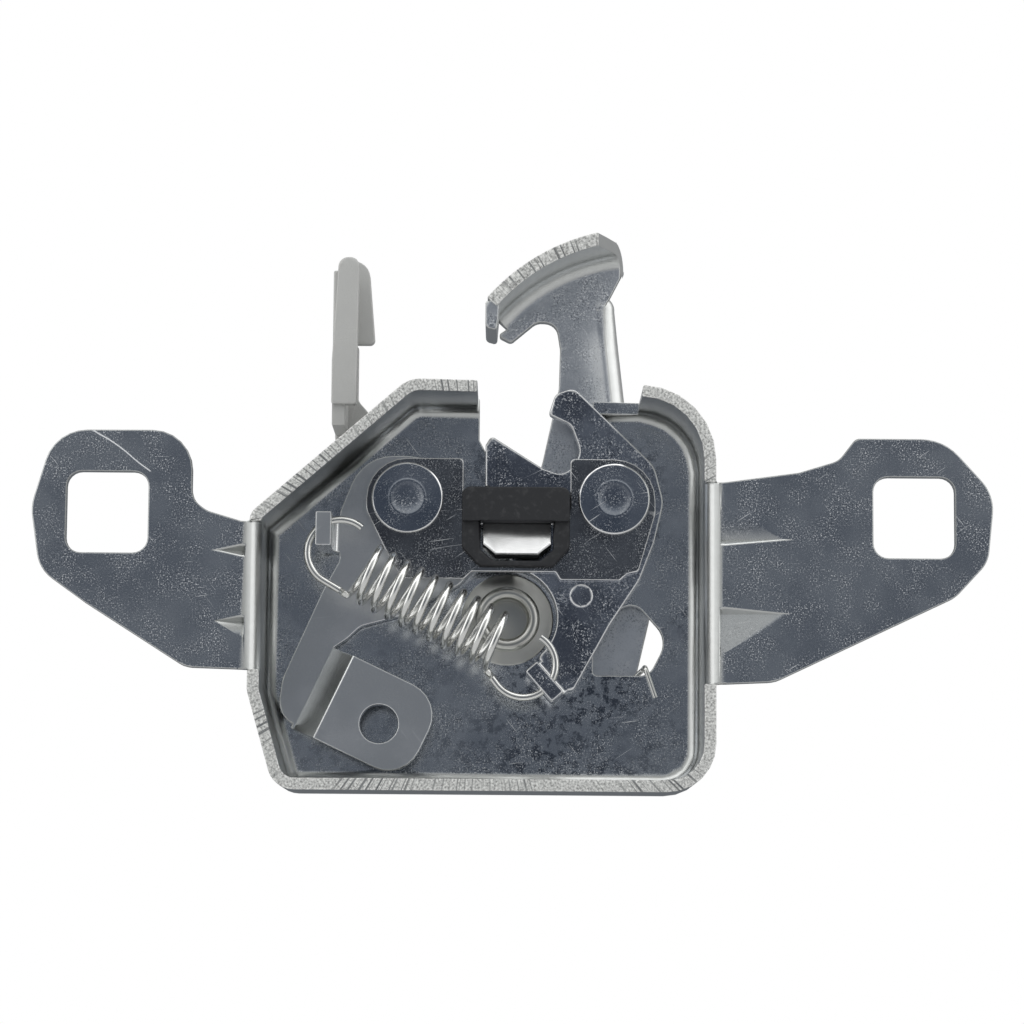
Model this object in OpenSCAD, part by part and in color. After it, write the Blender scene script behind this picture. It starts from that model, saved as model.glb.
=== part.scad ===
// Bonnet latch: pressed pan with two ears, claw, release lever and safety hook.
// X runs to the right, Z up and Y from the open front to the back.
// The origin is midway between the fixing holes, on the front face of the ears.

/* [Pan] */
// sheet thickness of the pan and its ears
sheet_t = 2.2; // [1.5:0.1:3]
// depth from the rim to the front of the floor
pan_depth = 20; // [18.5:0.5:26]
// left wall, outer face
pan_left = -48.5; // [-56:0.5:-48]
// right wall, outer face
pan_right = 38.2; // [37:0.1:46]
// top wall, outer face
pan_top = 25; // [24:0.5:28]
// how far the top wall falls to the right, each side of its middle
top_fall = 0.6; // [0:0.1:1]
// bottom wall, outer face
pan_bottom = -51.2; // [-60:0.1:-51]
// inside radius between the walls and the floor
floor_fillet = 2.5; // [1.5:0.1:3.5]

/* [Ears] */
// distance between the two fixing holes
hole_pitch = 150; // [140:1:170]
// width of the square fixing holes
hole_w = 15.2; // [10:0.1:17]
// corner radius of the square fixing holes
hole_r = 2.8; // [1:0.1:4]
// inside radius of the ear bends
ear_bend = 2; // [1:0.1:3]
// depth of the stiffening darts pressed into the ears
dart_depth = 1.6; // [0.8:0.1:1.8]

/* [Pivots] */
// distance between the two front rivets
rivet_pitch = 39.2; // [38:0.1:41]
// height of the two front rivets
rivet_z = 4.6; // [4:0.1:5.2]
// head diameter of the front rivets
rivet_head_d = 13.6; // [11:0.1:14.5]
// head thickness of the front rivets
rivet_head_t = 2.2; // [1.5:0.1:3]
// shank diameter of the front rivets
rivet_d = 7; // [5:0.1:8]
// outside diameter of the bushes that the plates turn on
bush_d = 10; // [9:0.1:11]
// radial running clearance on every pivot
run_gap = 0.05; // [0.02:0.01:0.09]
// end clearance of every turning plate
end_gap = 0.3; // [0.3:0.05:0.6]

/* [Claw and lever] */
// thickness of the claw and of the release lever
plate_t = 3; // [2.5:0.1:3.5]
// thickness of the bridge plate
bridge_t = 2; // [1.5:0.1:2.5]
// collar that holds the plates off the floor
collar_t = 1.3; // [1.2:0.1:2]
// inside radius of the bent spring tabs
tab_bend = 1; // [0.5:0.1:1.5]
// hole for the release cable
cable_d = 7.2; // [5:0.1:9]
// height of the cable tab in front of the lever
cable_step = 6; // [4:0.5:6.5]

/* [Main spring] */
// wire diameter
wire_d = 1.3; // [1:0.1:1.6]
// mean radius of the coil
coil_r = 5.4; // [4.5:0.1:5.6]
// number of turns
coil_turns = 10; // [6:1:12]
// mean radius of the end loops
loop_r = 6.15; // [5.8:0.05:6.4]
// radius of the bends between the coil and its loops
loop_bend = 1.5; // [1.2:0.1:1.8]

/* [Safety hook] */
// sheet thickness of the hook
hook_t = 2.5; // [2:0.1:3]
// free space between the pan and the hook
hook_space = 3; // [2.6:0.1:4]
// radius of the hook pivot
hook_pin_r = 4.9; // [4.6:0.1:5.4]
// radius of the pressed boss under the hook pivot
boss_r = 8.8; // [8:0.1:9.2]
// height of the pressed boss
boss_h = 1.1; // [0.8:0.1:1.2]
// outer radius of the curved hook head
head_r = 39.5; // [38.5:0.5:40.5]
// how far the head flange reaches towards the front
head_reach = 15; // [8:0.5:18]
// wire diameter of the hook's return spring
hook_wire_d = 1; // [0.8:0.1:1]

/* [Hidden] */
$fn = 48;
eps = 0.01;
lap = 0.4;

floor_back = pan_depth + sheet_t;
plate_back = pan_depth - collar_t - end_gap;
plate_front = plate_back - plate_t;
bridge_back = plate_front - end_gap;
bridge_front = bridge_back - bridge_t;
spring_y = bridge_front - 5.6;
lever_loop_y = spring_y - loop_bend;
claw_loop_y = spring_y + loop_bend;
// every second length of wire is a core that ends inside its neighbours
core_thin = 0.04;
core_over = 1;
hook_front = floor_back + hook_space;
hook_back = hook_front + hook_t;
boss_front = pan_depth - boss_h;

claw_at = [rivet_pitch / 2, rivet_z];
lever_at = [-rivet_pitch / 2, rivet_z];
boss_at = [-0.5, -17.7];
head_at = [25.2, 17.4];
lever_loop = [-31.9, -6.6];
claw_loop = [2.5, -27.2];
// open ends of the two loops, as angles
lever_loop_end = 49;
claw_loop_end = 418;
coil_start = [-28.3, -9.6];
coil_end = [-2, -23.3];
coil_angle = atan2(coil_start[1] - coil_end[1], coil_end[0] - coil_start[0]);
coil_len = norm(coil_end - coil_start);

// rim outline as x, z and corner radius
rim = [[pan_right, pan_top - top_fall, 14], [pan_right, pan_bottom, 9], [pan_left + 5.2, pan_bottom, 5],
       [pan_left, -33, 6], [pan_left, 0, 3], [pan_left + 29.3, pan_top + top_fall, 6]];

function unit(v) = v / norm(v);
function xz(p) = [p[0], p[1]];
function left_of(v) = [-v[1], v[0]];
function fold(a) = a > 180 ? a - 360 : a < -180 ? a + 360 : a;

// one corner of an outline as an arc of n steps
function arc_corner(a, p, b, n) =
    let (u = unit(xz(a) - xz(p)), v = unit(xz(b) - xz(p)),
         half = acos(u * v) / 2,
         c = xz(p) + unit(u + v) * p[2] / sin(half),
         s = xz(p) + u * p[2] / tan(half) - c,
         e = xz(p) + v * p[2] / tan(half) - c,
         from = atan2(s[1], s[0]),
         turn = fold(atan2(e[1], e[0]) - from))
    [for (i = [0 : n]) c + p[2] * [cos(from + turn * i / n), sin(from + turn * i / n)]];

// outline with each corner rounded to its own radius
function rounded(pts, n = 6) =
    let (k = len(pts))
    [for (i = [0 : k - 1]) each (len(pts[i]) < 3
        ? [xz(pts[i])]
        : arc_corner(pts[(i + k - 1) % k], pts[i], pts[(i + 1) % k], n))];

// clockwise outline moved inwards by d
function inset(pts, d) =
    let (k = len(pts))
    [for (i = [0 : k - 1])
        let (p = xz(pts[i]),
             n1 = -left_of(unit(p - xz(pts[(i + k - 1) % k]))),
             n2 = -left_of(unit(xz(pts[(i + 1) % k]) - p)),
             q = p + d * (n1 + n2) / (1 + n1 * n2))
        [q[0], q[1], max(pts[i][2] - d, 1)]];

// flat piece from a drawing in x and z, from y to y + t
module at(y, t) {
    translate([0, y + t, 0])
        rotate([90, 0, 0])
            linear_extrude(t)
                children();
}

// round bar along Y
module rod(p, y, len, d) {
    translate([p[0], y + len, p[1]])
        rotate([90, 0, 0])
            cylinder(d = d, h = len);
}

// solid with the rim outline and a rounded far edge
module dish(in, y0, y1, r) {
    hull() {
        at(y0, y1 - r - y0)
            polygon(rounded(inset(rim, in)));
        for (a = [18 : 18 : 90])
            at(y1 - r + r * sin(a) - 1, 1)
                polygon(rounded(inset(rim, in + r * (1 - cos(a)))));
    }
}

module square_hole(x) {
    h = hole_w / 2;
    polygon(rounded([[x - h, -h, hole_r], [x + h, -h, hole_r], [x + h, h, hole_r], [x - h, h, hole_r]]));
}

// ear sheet between the bend and its outer end, drawn for a fixing hole at x
module ear_flat(pts, x) {
    at(0, sheet_t)
        difference() {
            polygon(rounded(pts));
            square_hole(x);
        }
}

// quarter bend from a side wall into its ear; side is -1 on the left and 1 on the right
module ear_turn(x, side, z0, z1) {
    intersection() {
        translate([x + side * ear_bend, sheet_t + ear_bend, z0])
            difference() {
                cylinder(r = ear_bend + sheet_t, h = z1 - z0);
                translate([0, 0, -1])
                    cylinder(r = ear_bend, h = z1 - z0 + 2);
            }
        translate([side < 0 ? x + side * ear_bend : x - sheet_t - eps, 0, z0])
            cube([ear_bend + sheet_t + eps, ear_bend + sheet_t + eps, z1 - z0]);
    }
}

// clears the straight wall where the bend takes over
module ear_relief(x, side, z0, z1) {
    translate([side < 0 ? x - 1 : x - sheet_t - eps, -1, z0])
        cube([sheet_t + 1 + eps, 1 + ear_bend + sheet_t, z1 - z0]);
}

// stiffening dart: a crease at z that runs out on the ear, with one wide flank and one steep one
module dart(x, side, d, y, deep) {
    near = x + side * dart_start;
    far = x + side * d[3];
    polyhedron(points = [[near, y + deep, d[0]], [near, y - 0.3, d[1]], [near, y - 0.3, d[2]], [far, y - 0.3, d[0]]],
               faces = (side > 0) == (d[1] > d[2])
                   ? [[0, 1, 2], [0, 3, 1], [1, 3, 2], [2, 3, 0]]
                   : [[2, 1, 0], [1, 3, 0], [2, 3, 1], [0, 3, 2]]);
}

ear_l_z = [-29.1, -1.5];
ear_r_z = [-31.2, 6.4];
// crease, wide flank and steep flank of each dart in z, and where it runs out from the wall
darts_l = [[-7, -5.6, -8.4, 7.2], [-20.2, -24, -19, 7.4]];
darts_r = [[-4.2, 3.6, -5.6, 16.2], [-18.2, -27.4, -16.8, 16.2]];
dart_start = 0.8;

// left and right ear outlines from the bend outwards
function ear_l(x) = [[pan_left - ear_bend + lap, ear_l_z[1]], [x + 18.5, 0.4, 5], [x + 15.7, 2.5, 4],
    [x + 15.7, 15.5, 7.5], [x - 10, 15.4, 8], [x - 14.2, 1, 9], [x - 12.4, -10.8, 7], [x - 4, -16.8, 7],
    [x + 15, -28.8, 5], [pan_left - ear_bend + lap, ear_l_z[0]]];
function ear_r(x) = [[pan_right + ear_bend - lap, ear_r_z[1]], [x - 21.4, 8.3, 6], [x - 14, 10.6, 4],
    [x - 10.8, 14.8, 1.5], [x + 5.6, 14.8, 9.5], [x + 15, 4.4, 8], [x + 13.7, -8.2, 6], [x + 7.6, -14.8, 6],
    [x - 26, -30.8, 6], [pan_right + ear_bend - lap, ear_r_z[0]]];

// striker slot: wide through the wall, narrow in the floor
slot_l = -4.5;
slot_r = 15.6;
slot_low = 4.5;
window = [[15.9, -20, 2], [15.9, -28.2, 0.8], [26.6, -28.2, 3], [30.2, -21.2, 4.5], [23.4, -13.6, 3]];

module pan() {
    color("silver")
        difference() {
            union() {
                difference() {
                    dish(0, 0, floor_back, floor_fillet + sheet_t);
                    dish(sheet_t, -1, pan_depth, floor_fillet);
                    ear_relief(pan_left, -1, ear_l_z[0], ear_l_z[1]);
                    ear_relief(pan_right, 1, ear_r_z[0], ear_r_z[1]);
                }
                ear_turn(pan_left, -1, ear_l_z[0], ear_l_z[1]);
                ear_turn(pan_right, 1, ear_r_z[0], ear_r_z[1]);
                ear_flat(ear_l(-hole_pitch / 2), -hole_pitch / 2);
                ear_flat(ear_r(hole_pitch / 2), hole_pitch / 2);
                rod(boss_at, boss_front, sheet_t, boss_r * 2);
                for (d = darts_l)
                    dart(pan_left, -1, d, sheet_t, dart_depth);
                for (d = darts_r)
                    dart(pan_right, 1, d, sheet_t, dart_depth);
            }
            for (d = darts_l)
                dart(pan_left, -1, d, 0, dart_depth);
            for (d = darts_r)
                dart(pan_right, 1, d, 0, dart_depth);
            // mouth in the top wall
            at(-1, pan_depth)
                polygon(rounded([[-6.4, pan_top + 5], [-6.4, 19.5, 1], [-4.4, 17.4, 1], [20.5, 17.4, 2],
                                 [23.8, 19, 1], [25.4, pan_top + 5]]));
            // slot in the floor
            at(pan_depth - 3, sheet_t + 5)
                polygon(rounded([[slot_l - 1.6, pan_top + 5], [slot_l - 1.6, 17, 1], [slot_l, 14, 1],
                                 [slot_l, slot_low, 5], [slot_r, slot_low, 5],
                                 [slot_r, pan_top + 5]]));
            at(pan_depth - 1, sheet_t + 2)
                polygon(rounded(window));
            for (p = [claw_at, lever_at])
                rod(p, pan_depth - 1, sheet_t + 2, rivet_d);
            rod(boss_at, boss_front - 1, sheet_t + 4, hook_pin_r * 2);
            rod(boss_at, boss_front + sheet_t, sheet_t + 1, (boss_r - sheet_t) * 2);
        }
}

bridge_pts = [[-27.5, 12.5, 7.8], [-9, 12.5, 0.8], [-9, 2.2, 1.2], [11.3, 2.2, 1.2], [11.3, 12.5, 0.8],
              [27.5, 12.5, 7.8], [27.5, 2, 4], [24.3, -9, 0.8], [22.2, -9.4, 0.6], [20.8, -10.7, 0.6],
              [9.4, -10.7, 0.6], [8.5, -9.2, 0.5], [-7.3, -9.2, 0.5], [-8.7, -10.6, 0.6],
              [-20.6, -10.6, 1.5], [-24, -4.6, 3], [-27.5, 2.5, 4]];
tongue_w = 13;
tongue_x = 1.2;
tongue_len = 7.4;
tongue_tilt = 24;
tongue_z = -0.2;

module bridge_plate() {
    w = tongue_w / 2;
    color("gray") {
        difference() {
            at(bridge_front, bridge_t)
                polygon(rounded(bridge_pts));
            at(bridge_front - 1, bridge_t + 2)
                polygon([[tongue_x - w - 0.5, tongue_z], [tongue_x - w - 0.5, -7.2], [tongue_x + w + 0.5, -7.2],
                         [tongue_x + w + 0.5, tongue_z]]);
            for (p = [claw_at, lever_at])
                rod(p, bridge_front - 1, bridge_t + 2, rivet_d);
        }
        // tongue that keeps the rubber bumper in place
        translate([tongue_x, bridge_back, tongue_z])
            rotate([-tongue_tilt, 0, 0])
                at(-bridge_t, bridge_t)
                    polygon(rounded([[-w, 0.6], [-w, -tongue_len + 2.2, 0.5], [-w + 2.4, -tongue_len, 0.5],
                                     [w - 2.4, -tongue_len, 0.5], [w, -tongue_len + 2.2, 0.5], [w, 0.6]]));
    }
}

bumper_front = 9.4;
bumper_low = -8.4;

module rubber_bumper() {
    gap = 0.15;
    face = bridge_front - gap;
    color("black")
        difference() {
            union() {
                at(bumper_front, face - bumper_front)
                    polygon(rounded([[-9.2, 6.6, 1.6], [11.2, 6.6, 1.6], [11.2, -4.8, 1.5], [8, bumper_low, 1],
                                     [-5.8, bumper_low, 1], [-9.2, -4.8, 1.5]]));
                at(face - lap, bridge_t + lap)
                    polygon(rounded([[-8.7, 6.6, 1], [11, 6.6, 1], [11, 2.4, 0.8], [-8.7, 2.4, 0.8]]));
            }
            // recess of the lower half behind the proud front bar
            translate([-20, bumper_front - 1, -20])
                cube([40, 2.2, 20]);
            // pocket round the tongue
            at(bumper_front - 1, face - bumper_front + 2)
                polygon([[tongue_x - tongue_w / 2 - 0.4, 0.05], [tongue_x - tongue_w / 2 - 0.4, -5.2],
                         [tongue_x - tongue_w / 2 + 2, -7.3], [tongue_x + tongue_w / 2 - 2, -7.3],
                         [tongue_x + tongue_w / 2 + 0.4, -5.2], [tongue_x + tongue_w / 2 + 0.4, 0.05]]);
        }
}

// bent spring tab: plate edge through p along angle a, of width w, with a notch for the loop at y
module spring_tab(p, a, w, loop, y) {
    tab_tip = y - 2.4;
    difference() {
        translate([p[0], 0, p[1]])
            rotate([0, -a, 0])
                translate([-w / 2, 0, 0]) {
                    intersection() {
                        translate([0, plate_front - tab_bend, 0])
                            rotate([0, 90, 0])
                                difference() {
                                    cylinder(r = tab_bend + plate_t, h = w);
                                    translate([0, 0, -1])
                                        cylinder(r = tab_bend, h = w + 2);
                                }
                        translate([0, plate_front - tab_bend, 0])
                            cube([w, 9, 9]);
                    }
                    translate([0, tab_tip, tab_bend])
                        cube([w, plate_front - tab_bend - tab_tip + eps, plate_t]);
                    translate([0, plate_front, -lap])
                        cube([w, plate_t, lap + eps]);
                }
        // seat of the loop in the outer edge
        at(y - wire_d / 2 - 0.35, wire_d + 0.7)
            difference() {
                translate(loop)
                    circle(r = loop_r + 6);
                translate(loop)
                    circle(r = loop_r - wire_d / 2 - 0.3);
            }
    }
}

claw_pts = [[7.1, 21.4, 0.8], [8.4, 25.4, 1.8], [11.9, 26.6, 2], [27.4, 11.6, 6], [29.2, 4.6, 6],
            [27.4, -3.2, 8], [24.6, -10.4, 8], [19, -18.9, 8], [11.6, -32.4, 1.2], [5.6, -25.6, 0.8],
            [6, -18], [0.8, -8.2, 1], [-2.6, -2.6, 1.5], [-6.4, 0.8, 0.8], [-6.4, 3.4, 0.8],
            [-2.6, 4.6, 0.8], [-2.6, 6.2, 0.8], [-4.9, 7.4, 0.6], [-4.9, 15.4, 0.8], [-3.8, 17.2, 0.8],
            [6, 11, 2.5], [10.4, 9.4, 3], [13.4, 14, 3.4], [11.4, 19.4, 2]];

module claw() {
    color("lightsteelblue") {
        difference() {
            at(plate_front, plate_t)
                polygon(rounded(claw_pts));
            rod(boss_at, plate_front - 1, plate_t + 2, (boss_r + 0.6) * 2);
            rod(claw_at, plate_front - 1, plate_t + 2, bush_d + 2 * run_gap);
        }
        // half-sheared stop stud below the bridge plate
        rod([13.5, -13.5], plate_front - 0.9, 0.9 + lap, 4.6);
        spring_tab([8.4, -28.8], 131.4, 7.6, claw_loop, claw_loop_y);
    }
}

lever_pts = [[-28.2, 13.2, 8.5], [-11, 13.2, 8.5], [-11, -1, 4], [-5.3, -5.2, 0.7], [-5.3, -7.2, 0.7],
             [-9.6, -11.4, 2], [-20, -17.3, 4], [-28.4, -19.6, 3], [-30.9, -22, 1.2], [-33.4, -23.7],
             [-39.5, -39.4, 1.8], [-43.8, -36, 4.6], [-43, -29.6, 6], [-35.6, -12.8, 6], [-32.5, -7, 2],
             [-32.5, 2.4, 1.5]];
cable_dir = [0.904, -0.428];
cable_side = [-0.428, -0.904];
cable_root = [-30.2, -25.2];
cable_hole_at = [-24.4, -38.4];

// point of the cable tab, s along it and w across it
function cable_pt(s, w) = cable_root + s * cable_dir + w * cable_side;

// step between the lever and its raised cable tab
module cable_joggle(raised, w) {
    u = cable_dir;
    v = cable_side;
    multmatrix([[u[0], 0, -v[0], cable_root[0]], [0, 1, 0, 0], [u[1], 0, -v[1], cable_root[1]], [0, 0, 0, 1]])
        translate([0, 0, -w + 0.05])
            linear_extrude(w - 0.1)
                polygon([[-4.2, plate_front], [-3.6, plate_front], [1, raised], [2, raised],
                         [2, raised + plate_t], [1.3, raised + plate_t], [-3.3, plate_back],
                         [-4.2, plate_back]]);
}

module release_lever() {
    w = 17.2;
    raised = plate_front - cable_step;
    a = cable_pt(19.9, 0);
    b = cable_pt(19.9, w);
    color("darkgray") {
        difference() {
            union() {
                at(plate_front, plate_t)
                    polygon(rounded(lever_pts));
                cable_joggle(raised, w);
                at(raised, plate_t)
                    polygon(rounded([cable_pt(1, 0), [a[0], a[1], 6.4], [b[0], b[1], 6.4], cable_pt(1, w)]));
            }
            rod(lever_at, plate_front - 1, plate_t + 2, bush_d + 2 * run_gap);
            rod(cable_hole_at, raised - 1, plate_t + 2, cable_d);
        }
        spring_tab([-32.5, -2.3], 90, 6.4, lever_loop, lever_loop_y);
    }
}

// spacer bush with a collar on the floor side
module bush(p) {
    color("gold")
        difference() {
            union() {
                rod(p, bridge_back, pan_depth - bridge_back, bush_d);
                rod(p, pan_depth - collar_t, collar_t, bush_d + 3.5);
            }
            rod(p, bridge_back - 1, pan_depth - bridge_back + 2, rivet_d);
        }
}

module claw_bush() {
    bush(claw_at);
}

module lever_bush() {
    bush(lever_at);
}

// front rivet with a ring mark in its head and a set tail behind the floor
module front_rivet(p) {
    head_y = bridge_front - rivet_head_t;
    color("lightgray")
        difference() {
            union() {
                translate([p[0], bridge_front, p[1]])
                    rotate([90, 0, 0])
                        rotate_extrude()
                            polygon([[0, 0], [rivet_head_d / 2, 0], [rivet_head_d / 2, rivet_head_t - 0.7],
                                     [rivet_head_d / 2 - 0.7, rivet_head_t], [0, rivet_head_t]]);
                rod(p, bridge_front - lap, floor_back - bridge_front + 2 * lap, rivet_d);
                translate([p[0], floor_back, p[1]])
                    rotate([-90, 0, 0])
                        cylinder(d1 = rivet_d + 4, d2 = rivet_d + 2.4, h = 1.8);
            }
            // ring mark
            translate([p[0], head_y - 1, p[1]])
                rotate([-90, 0, 0])
                    difference() {
                        cylinder(d = 8, h = 1.3);
                        translate([0, 0, -1])
                            cylinder(d = 6.8, h = 4);
                    }
        }
}

module claw_rivet() {
    front_rivet(claw_at);
}

module lever_rivet() {
    front_rivet(lever_at);
}

// arc of wire round c, starting at u and turning towards v; a core is a hair thinner and longer
module wire_arc(c, u, v, r, turn, d, core = false) {
    n = cross(u, v);
    over = core ? core_over : 0;
    multmatrix([[u[0], v[0], n[0], c[0]], [u[1], v[1], n[1], c[1]], [u[2], v[2], n[2], c[2]], [0, 0, 0, 1]])
        rotate([0, 0, -over])
            rotate_extrude(angle = turn + 2 * over, $fn = 24)
                translate([r, 0])
                    circle(d = core ? d - core_thin : d, $fn = 14);
}

// open coil along X that starts and ends on its lower side
module coil(r, p, n, d) {
    q = norm([r, p / 4]);
    for (t = [0 : n - 1]) {
        wire_arc([(t + 0.25) * p, 0, 0], [-p / 4, 0, -r] / q, [0, 1, 0], q, 180, d, true);
        wire_arc([(t + 0.75) * p, 0, 0], [-p / 4, 0, r] / q, [0, -1, 0], q, 180, d);
    }
}

// straight wire between two points
module bar(a, b, d) {
    v = b - a;
    translate(a)
        rotate([0, acos(v[2] / norm(v)), atan2(v[1], v[0])])
            cylinder(d = d, h = norm(v), $fn = 16);
}

// straight wire with round ends
module wire(a, b, d) {
    bar(a, b, d);
    for (p = [a, b])
        translate(p)
            sphere(d = d * 1.04, $fn = 16);
}

function deep(p, y) = [p[0], y, p[1]];
function around(a) = [cos(a), sin(a)];
function coil_low(p) = p - coil_r * [sin(coil_angle), cos(coil_angle)];
// straight length and bend between a coil end b and a loop round c
function lead(b, c) = sqrt(pow(norm(b - c), 2) - loop_r * loop_r);
function heading(b, c) = atan2(b[1] - c[1], b[0] - c[0]);

// loop round c at depth y, joined to the coil end b; way is -1 before the coil and 1 after it
module end_loop(c, b, y, way, open_end) {
    l = lead(b, c);
    a = heading(b, c) + way * atan(l / loop_r);
    w = left_of(around(a));
    e = c + loop_r * around(a);
    k = e - way * (l - loop_bend) * w;
    turn = way < 0 ? (a + 720 - open_end) % 360 : open_end - (a + 720) % 360;
    after = way > 0;
    h = after ? wire_d : wire_d - core_thin;
    o = after ? [0, 0] : 0.06 * unit(k - e);
    wire_arc(deep(c, y), deep(around(a), 0), deep(way * w, 0), loop_r, turn, wire_d, after);
    bar(deep(after ? k : e - o, y), deep(after ? e : k + o, y), h);
    wire_arc(deep(k, y - way * loop_bend), [0, way, 0], deep(-way * w, 0), loop_bend, 90, wire_d, after);
}

module main_spring() {
    color("white") {
        translate(deep(coil_start, spring_y))
            rotate([0, coil_angle, 0])
                coil(coil_r, coil_len / coil_turns, coil_turns, wire_d);
        end_loop(lever_loop, coil_low(coil_start), lever_loop_y, -1, lever_loop_end);
        end_loop(claw_loop, coil_low(coil_end), claw_loop_y, 1, claw_loop_end);
    }
}

flange_r = 6.2;
flange_t = 1.5;
shoulder_r = boss_r - sheet_t - 0.05;

// tubular rivet that the safety hook turns on
module hook_rivet() {
    shoulder_end = hook_front - end_gap;
    tail = hook_back + end_gap;
    color("lightgray")
        difference() {
            union() {
                translate([boss_at[0], boss_front, boss_at[1]])
                    rotate([90, 0, 0])
                        cylinder(r1 = flange_r, r2 = flange_r - 0.6, h = flange_t);
                rod(boss_at, boss_front - lap, tail - boss_front + 2 * lap, hook_pin_r * 2);
                rod(boss_at, boss_front + sheet_t, shoulder_end - boss_front - sheet_t, shoulder_r * 2);
                rod(boss_at, tail, 1.6, 16);
            }
            rod(boss_at, boss_front - flange_t - 1, flange_t + 5.5, 7.6);
        }
}

head_in = 3;
head_web = head_r - head_in - hook_t;
head_from = 95;
head_turn = 44.5;
web_lap = head_web + 0.2;

function on_head(a) = head_at + web_lap * around(a);
hook_pts = concat(
    [for (i = [0 : 12]) on_head(head_from + 0.7 + (head_turn - 2) * i / 12)],
    [[-3, 38.4, 0.6], [-0.2, 37, 1], [4.8, 41.2, 2.6], [8.6, 41, 2.6], [9.4, 36, 5], [9.2, 28, 8],
     [5.9, 12.6, 8], [-3.6, -5.4, 4], [-29.2, 25.4, 2], [-29.2, 36], [-33.6, 36], [-33.6, 17, 5],
     [-14.5, -14, 6], [-9, -28, 8], [6, -31, 6], [23.8, -30.4, 3], [27, -16.6, 6], [20.6, 22.6, 8],
     [17.8, 38.6, 6], [18, 44, 4]]);
grip_x = -33.6;
grip_low = 18.5;
grip_top = 51;
pad_y = 11.5;

// curved flange of the head, turned towards the front
module head_flange() {
    translate([head_at[0], 0, head_at[1]])
        rotate([90, 0, 0])
            rotate([0, 0, head_from])
                rotate_extrude(angle = head_turn, $fn = 160) {
                    translate([head_web, head_in - hook_front])
                        intersection() {
                            difference() {
                                circle(r = head_in + hook_t);
                                circle(r = head_in);
                            }
                            translate([0, -head_in - hook_t])
                                square(head_in + hook_t);
                        }
                    translate([head_r - hook_t, head_in - hook_front])
                        square([hook_t, head_reach - head_in]);
                }
}

module safety_hook() {
    color("silver") {
        difference() {
            union() {
                at(hook_front, hook_t)
                    polygon(rounded(hook_pts));
                // rolled right edge of the stem
                bar([22.6, hook_back, -2], [17.3, hook_back, 44], hook_t * 2 + 0.3);
                translate([17.3, hook_back, 44])
                    sphere(d = hook_t * 2 + 0.4, $fn = 24);
                head_flange();
                // flange carried round the tip of the head
                at(hook_front - head_reach + 0.8, head_reach + hook_t - 1.6)
                    polygon(rounded([[-5.1, 37.4, 1], [-5.1, 42.4], [-2.4, 43], [-2.9, 36.8, 0.6]]));
            }
            // oblique right end of the head flange
            translate([16.3, hook_front - head_reach, 46])
                rotate([0, 0, -17.5])
                    translate([0, -5, 0])
                        cube([20, 40, 20]);
            rod(boss_at, hook_front - 1, hook_t + 2, (hook_pin_r + run_gap) * 2);
        }
        // finger grip: side flange, front pad and back lip
        translate([grip_x, pad_y + 1, grip_low])
            cube([hook_t, hook_back - pad_y - 1.1, 30]);
        at(pad_y, hook_t)
            polygon(rounded([[grip_x - 0.1, 22.5, 0.5], [grip_x - 0.1, 31, 6], [-32.6, grip_top, 1.9],
                             [-28.7, grip_top, 1.7], [-29, 22.5, 0.5]]));
        at(20, hook_t)
            polygon(rounded([[grip_x + 0.6, 35.6], [grip_x + 0.6, grip_top + 1, 2.2], [-27.2, grip_top + 1, 3.4],
                             [-25.8, 35.6, 1]]));
    }
}

// return spring: coil round the rivet, one leg through the window, one on the handle arm
module hook_spring() {
    r = shoulder_r + hook_wire_d / 2 + 0.5;
    y0 = floor_back + hook_wire_d / 2 + 0.1;
    y1 = y0 + 1.2;
    front = pan_depth - hook_wire_d / 2 - 0.1;
    knee = [21.6, -30.6];
    peg = [25.8, -26.6];
    tip = [-12.5, 6.5];
    low = [boss_at[0], boss_at[1] - r];
    toe = [8, low[1]];
    heel = [-10, low[1]];
    color("white") {
        translate([boss_at[0], y0, boss_at[1]])
            rotate([0, 0, 90])
                coil(r, 1.2, 1, hook_wire_d);
        bar(deep(low, y0), deep(toe, y0), hook_wire_d);
        wire(deep(toe, y0), deep(knee, y0), hook_wire_d);
        wire(deep(knee, y0), deep(peg, y0), hook_wire_d);
        wire(deep(peg, y0), deep(peg, front), hook_wire_d);
        wire(deep(peg, front), deep(peg + [2, -5.8], front), hook_wire_d);
        bar(deep(low + [0.06, 0], y1), deep(heel, y1), hook_wire_d - core_thin);
        wire(deep(heel, y1), deep(tip, y1), hook_wire_d);
        wire(deep(tip, y1), deep(tip, hook_back + 0.6), hook_wire_d);
    }
}

pan();
bridge_plate();
rubber_bumper();
claw();
release_lever();
claw_bush();
lever_bush();
claw_rivet();
lever_rivet();
main_spring();
hook_rivet();
safety_hook();
hook_spring();
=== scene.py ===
"""Looks of the bonnet latch: plated pressings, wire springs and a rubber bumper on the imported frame."""

import logging
import math
from dataclasses import dataclass, field
from enum import Enum

import bmesh
import bpy
import numpy as np
from mathutils import Matrix, Vector
from mathutils.bvhtree import BVHTree


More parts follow.
